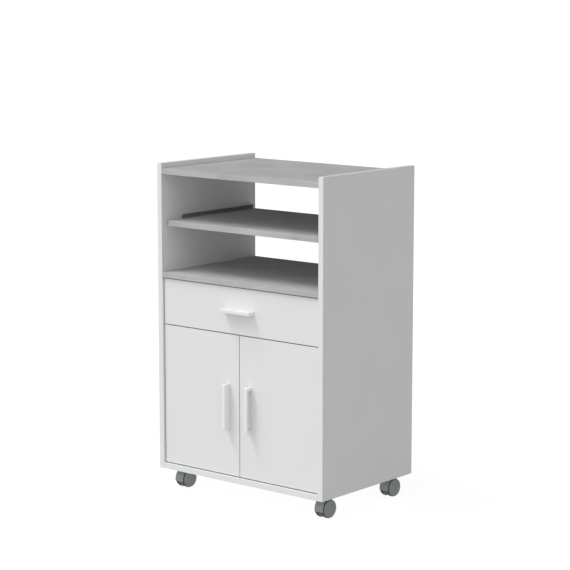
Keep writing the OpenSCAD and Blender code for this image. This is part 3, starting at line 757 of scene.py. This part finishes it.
make_handle("drawer_pull", "drawer", "drawer_handle", 0.0)
make_handle("left_door_pull", "left_door_leaf", "left_handle", math.pi / 2)
make_handle("right_door_pull", "right_door_leaf", "right_handle", -math.pi / 2)

# %% [markdown]
# ## Casters
#
# A twin-wheel caster has two plain discs with a shared hood over their front
# and top, and a core between them that carries the axle and the swivel pin.
# The frame's own boxes give the sizes. The hood and the pair of wheels are
# each modelled once, round the middle of an axle at the origin, and copied to
# the four corners.

# %% Caster sizes
CORNERS = ("front_left", "front_right", "back_left", "back_right")
CORE_WIDTH = 0.013
wheels_low, wheels_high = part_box("front_left_wheels")
hood_low, hood_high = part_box("front_left_hood")
wheel_radius = (wheels_high.z - wheels_low.z) / 2
twin_width = wheels_high.x - wheels_low.x
hood_width = hood_high.x - hood_low.x
hood_radius = (wheels_low.y + wheels_high.y) / 2 - hood_low.y
hood_top = hood_high.z - (wheels_low.z + wheels_high.z) / 2
axle_place = {}
for corner in CORNERS:
    low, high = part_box(corner + "_wheels")
    axle_place[corner] = (low + high) / 2
print("wheel radius", round(wheel_radius, 4), "hood radius", round(hood_radius, 4))

# %% [markdown]
# Two more helpers serve the casters. Joining makes one piece of several. A copy
# gets its own mesh, and its place goes into that mesh, because the finishes
# and the export measure every piece from the origin.


# %% Joining and copying
def join(parts, name):
    """Joins pieces into the first of them."""
    clear_selection()
    for part in parts:
        part.select_set(True)
    bpy.context.view_layer.objects.active = parts[0]
    bpy.ops.object.join()
    parts[0].name = name
    return parts[0]


def copy_to(piece, name, place):
    """Copies a piece with its own mesh to a place and settles it there."""
    use_alone(piece)
    bpy.ops.object.duplicate()
    copied = bpy.context.object
    copied.name = name
    copied.location = place
    settle(copied)
    return copied


# %% [markdown]
# The wheel starts as a short cylinder on its side, as wide as the hood covers.
# This is the tread, in a near-black finish that is painted shade for the
# shadowed gap under the hood. Its outer face is inset and pushed out to make the
# lighter cap, which is a little smaller, so a ring of painted shade shows round
# it. More insets make the cap's rim and its hub with a shallow groove between
# them. The second wheel is the first one turned round the upright axis, so no
# mirror is needed and the faces keep pointing outwards.

# %% Wheels
WHEEL_GAP = 0.0005
WHEEL_SIDES = 72
CAP_STEP = 0.0018
RIM_WIDTH = 0.0016
GROOVE_DEPTH = 0.0006
GROOVE_WIDTH = 0.0135
SHOULDER = 0.0007
SHOULDER_STEPS = 3
WHEEL_EDGE = 0.0003
cap_radius = wheel_radius - CAP_STEP


def make_wheel_pair():
    """Models one wheel, turns a copy of it round, and joins the two."""
    inner_face = CORE_WIDTH / 2 + WHEEL_GAP
    tread_width = hood_width / 2 - inner_face
    cap_depth = twin_width / 2 - hood_width / 2
    clear_selection()
    bpy.ops.mesh.primitive_cylinder_add(
        vertices=WHEEL_SIDES,
        radius=wheel_radius,
        depth=tread_width,
        location=(inner_face + tread_width / 2, 0.0, 0.0),
        rotation=(0.0, math.pi / 2, 0.0),
    )
    wheel = bpy.context.object
    settle(wheel)
    bpy.ops.object.mode_set(mode="EDIT")
    pick_faces(wheel, lambda c, n: n.x > FACING)
    bpy.ops.mesh.inset(thickness=CAP_STEP)
    bpy.ops.mesh.extrude_region_move(
        TRANSFORM_OT_translate={"value": (cap_depth, 0.0, 0.0)}
    )
    bpy.ops.mesh.inset(thickness=RIM_WIDTH)
    bpy.ops.mesh.inset(thickness=GROOVE_DEPTH, depth=-GROOVE_DEPTH)
    bpy.ops.mesh.inset(thickness=GROOVE_WIDTH)
    bpy.ops.mesh.inset(thickness=GROOVE_DEPTH, depth=GROOVE_DEPTH)
    pick_edges(
        wheel,
        lambda a, b: min(a.yz.length, b.yz.length) > wheel_radius - NEAR
        and abs(a.x - b.x) < NEAR,
    )
    bpy.ops.mesh.bevel(offset=SHOULDER, segments=SHOULDER_STEPS, affect="EDGES")
    bpy.ops.object.mode_set(mode="OBJECT")
    soften(wheel, WHEEL_EDGE)
    # The faces outside the cap take the tread's dark finish, painted shade for the gap
    # under the hood.
    for finish in (caster_plastic, tread_painted_shade):
        wheel.data.materials.append(finish)
    for face in wheel.data.polygons:
        face.material_index = int(face.center.yz.length > cap_radius + SHOULDER / 2)
    second = copy_to(wheel, "second_wheel", (0.0, 0.0, 0.0))
    second.rotation_euler = (0.0, 0.0, math.pi)
    settle(second)
    return join([wheel, second], "wheel_pair")


wheel_pair = make_wheel_pair()
print("wheel pair faces:", len(wheel_pair.data.polygons))

# %% [markdown]
# The hood is a band bent round the wheels. A cylinder is cut off under the
# skirt and behind the axle, all but its curved face is deleted, and a Solidify
# modifier gives the rest its wall. The core is a narrower cylinder with the
# same two cuts, a boss for the axle and a socket for the swivel pin. They are
# closed solids that overlap, as the ribs inside a moulding run into its wall.

# %% Hood
HOOD_WALL = 0.0016
HOOD_SKIRT = 0.006
HOOD_BACK = 0.016
HOOD_EDGE = 0.0008
HOOD_SIDES = 96
CORE_EDGE = 0.0006
POST_SIDES = 40
BOSS_RADIUS = 0.0085
SOCKET_SINK = 0.008  # the socket ends this far below the wheels' top
SWIVEL_TRAIL = 0.010


def cut_cylinder(radius, width):
    """A cylinder round the axle, cut off under the skirt and at the back."""
    clear_selection()
    bpy.ops.mesh.primitive_cylinder_add(
        vertices=HOOD_SIDES,
        radius=radius,
        depth=width,
        rotation=(0.0, math.pi / 2, 0.0),
    )
    piece = bpy.context.object
    settle(piece)
    bpy.ops.object.mode_set(mode="EDIT")
    for point, normal in (
        ((0.0, 0.0, -HOOD_SKIRT), (0.0, 0.0, -1.0)),
        ((0.0, HOOD_BACK, 0.0), (0.0, 1.0, 0.0)),
    ):
        cut_plane(point, normal, use_fill=True, clear_outer=True)
    return piece


def add_post(radius, depth, place, turn):
    """A plain boss or socket of the core, with softened edges."""
    clear_selection()
    bpy.ops.mesh.primitive_cylinder_add(
        vertices=POST_SIDES,
        radius=radius,
        depth=depth,
        location=place,
        rotation=(0.0, turn, 0.0),
    )
    post = bpy.context.object
    settle(post)
    soften(post, CORE_EDGE)
    return post


def make_band():
    """The outer wall of the hood."""
    band = cut_cylinder(hood_radius, hood_width)
    pick_faces(
        band,
        lambda c, n: abs(n.x) > FACING
        or c.z < NEAR - HOOD_SKIRT
        or c.y > HOOD_BACK - NEAR,
    )
    bpy.ops.mesh.delete(type="FACE")
    bpy.ops.object.mode_set(mode="OBJECT")
    wall = band.modifiers.new("wall", "SOLIDIFY")
    wall.thickness = HOOD_WALL
    wall.offset = -1.0
    bpy.ops.object.modifier_apply(modifier=wall.name)
    soften(band, HOOD_EDGE, segments=3)
    return band


def make_hood():
    """The band and the core with its boss and socket, as one piece."""
    band = make_band()
    core = cut_cylinder(hood_radius - HOOD_WALL / 2, CORE_WIDTH)
    bpy.ops.object.mode_set(mode="OBJECT")
    soften(core, CORE_EDGE)
    boss = add_post(BOSS_RADIUS, CORE_WIDTH, (0.0, 0.0, 0.0), math.pi / 2)
    depth = hood_top - wheel_radius + SOCKET_SINK
    middle = (0.0, -SWIVEL_TRAIL, hood_top - depth / 2)
    socket = add_post(CORE_WIDTH / 2, depth, middle, 0.0)
    whole = join([band, core, boss, socket], "hood")
    dress(whole, caster_plastic)
    return whole


hood = make_hood()
print("hood size", [round(v, 4) for v in hood.dimensions])

# %% [markdown]
# The hood turns with its swivel and the wheels turn in it, so at each corner
# they stay two pieces on two bodies. The two patterns at the origin have done
# their work then and are removed.

# %% Copies at the four corners
for corner, place in axle_place.items():
    hood_copy = copy_to(hood, corner + "_caster_hood", place)
    put_in(hood_copy, corner + "_caster", corner + "_hood")
    pair_copy = copy_to(wheel_pair, corner + "_caster_wheels", place)
    put_in(pair_copy, corner + "_wheel_pair", corner + "_wheels")
for pattern in (hood, wheel_pair):
    bpy.data.objects.remove(pattern, do_unlink=True)
print("casters at", [tuple(round(v, 4) for v in p) for p in axle_place.values()])

# %% [markdown]
# ## Floor and light
#
# The cart stands on a plain pale floor, like the lit table of a photo studio.
# It glows a little by itself, so light also comes from below and the shadows
# on it stay faint. The Light Path node lets it look nearly white to the camera
# without throwing that much light up at the cart.

# %% Floor
FLOOR_SIZE = 60.0
FLOOR_TONE = (0.12, 0.12, 0.12)
FLOOR_ROUGHNESS = 0.9
GLOW_COLOR = (1.0, 1.0, 1.0)
FLOOR_GLOW = 0.42
FLOOR_LOOK = 0.93

clear_selection()
bpy.ops.mesh.primitive_plane_add(size=FLOOR_SIZE, location=(0.0, 0.0, 0.0))
floor = bpy.context.object
floor.name = "floor"
floor_finish, floor_tree, floor_shader = new_finish(
    "pale_floor",
    Base_Color=opaque(FLOOR_TONE),
    Roughness=FLOOR_ROUGHNESS,
    Emission_Color=opaque(GLOW_COLOR),
)
seen = add_node(floor_tree, "ShaderNodeLightPath", (-600, 0))
glow = add_node(
    floor_tree,
    "ShaderNodeMapRange",
    (-350, 0),
    {"To Min": FLOOR_GLOW, "To Max": FLOOR_LOOK},
)
floor_tree.links.new(seen.outputs["Is Camera Ray"], glow.inputs["Value"])
floor_tree.links.new(glow.outputs["Result"], floor_shader.inputs["Emission Strength"])
dress(floor, floor_finish)
print("floor glows", FLOOR_GLOW, "and looks", FLOOR_LOOK)

# %% [markdown]
# The picture was lit from in front: the sky before the cart is bright and the
# sky behind it dim, so the bays get darker towards the back. A smooth step on
# the direction's Y makes that change. The camera sees the same white all round.

# %% Sky
SKY_COLOR = (0.985, 0.99, 1.0)
SKY_BEHIND = 0.10
SKY_BEFORE = 0.98
SKY_STEP = 0.25
SKY_LOOK = 1.05

world = bpy.data.worlds.new("bright_front_sky")
bpy.context.scene.world = world
world.use_nodes = True
sky_tree = world.node_tree
sky = sky_tree.nodes["Background"]
sky.inputs["Color"].default_value = opaque(SKY_COLOR)
looking = add_node(sky_tree, "ShaderNodeTexCoord", (-1100, 0))
parts = add_node(sky_tree, "ShaderNodeSeparateXYZ", (-900, 0))
step = add_node(
    sky_tree,
    "ShaderNodeMapRange",
    (-700, 0),
    {
        "From Min": SKY_STEP,
        "From Max": -SKY_STEP,
        "To Min": SKY_BEHIND,
        "To Max": SKY_BEFORE,
    },
    interpolation_type="SMOOTHSTEP",
)
path = add_node(sky_tree, "ShaderNodeLightPath", (-700, 300))
level = add_node(
    sky_tree, "ShaderNodeMix", (-300, 0), {"B": SKY_LOOK}, data_type="FLOAT"
)
sky_tree.links.new(looking.outputs["Generated"], parts.inputs["Vector"])
sky_tree.links.new(parts.outputs["Y"], step.inputs["Value"])
sky_tree.links.new(path.outputs["Is Camera Ray"], level.inputs["Factor"])
sky_tree.links.new(step.outputs["Result"], level.inputs["A"])
sky_tree.links.new(level.outputs["Result"], sky.inputs["Strength"])
print("sky from", SKY_BEHIND, "behind to", SKY_BEFORE, "in front")

# %% [markdown]
# The main light is a tall soft box, high up to the left of the front. Its long
# side lies in the plane of the front's normal and of the light's path along
# the front. The shadow under the drawer handle therefore fades downwards but
# keeps a crisp right edge. It hangs far away, so it lights the whole cart alike.
# The Standard view shows the colours as they are, without a film's soft whites.

# %% Soft box
BOX_TRAVEL = Vector((1.1, 1.0, -2.7)).normalized()
BOX_AWAY = 20.0
BOX_TALL = math.radians(28.0)
BOX_WIDE = math.radians(9.0)
BOX_POWER = 1900.0

back = -BOX_TRAVEL
front = Vector((0.0, -1.0, 0.0))
tall = (front - front.dot(back) * back).normalized()
turn = Matrix((tall.cross(back), tall, back)).transposed().to_euler()
middle = (Vector(cad_box[0]) + Vector(cad_box[1])) / 2
bpy.ops.object.light_add(
    type="AREA", location=middle + back * BOX_AWAY, rotation=turn
)
soft_box = bpy.context.object
soft_box.name = "soft_box"
soft_box.data.shape = "RECTANGLE"
soft_box.data.size = 2 * BOX_AWAY * math.tan(BOX_WIDE / 2)
soft_box.data.size_y = 2 * BOX_AWAY * math.tan(BOX_TALL / 2)
soft_box.data.energy = BOX_POWER
bpy.context.scene.view_settings.view_transform = "Standard"
print("soft box at", [round(v, 2) for v in soft_box.location])
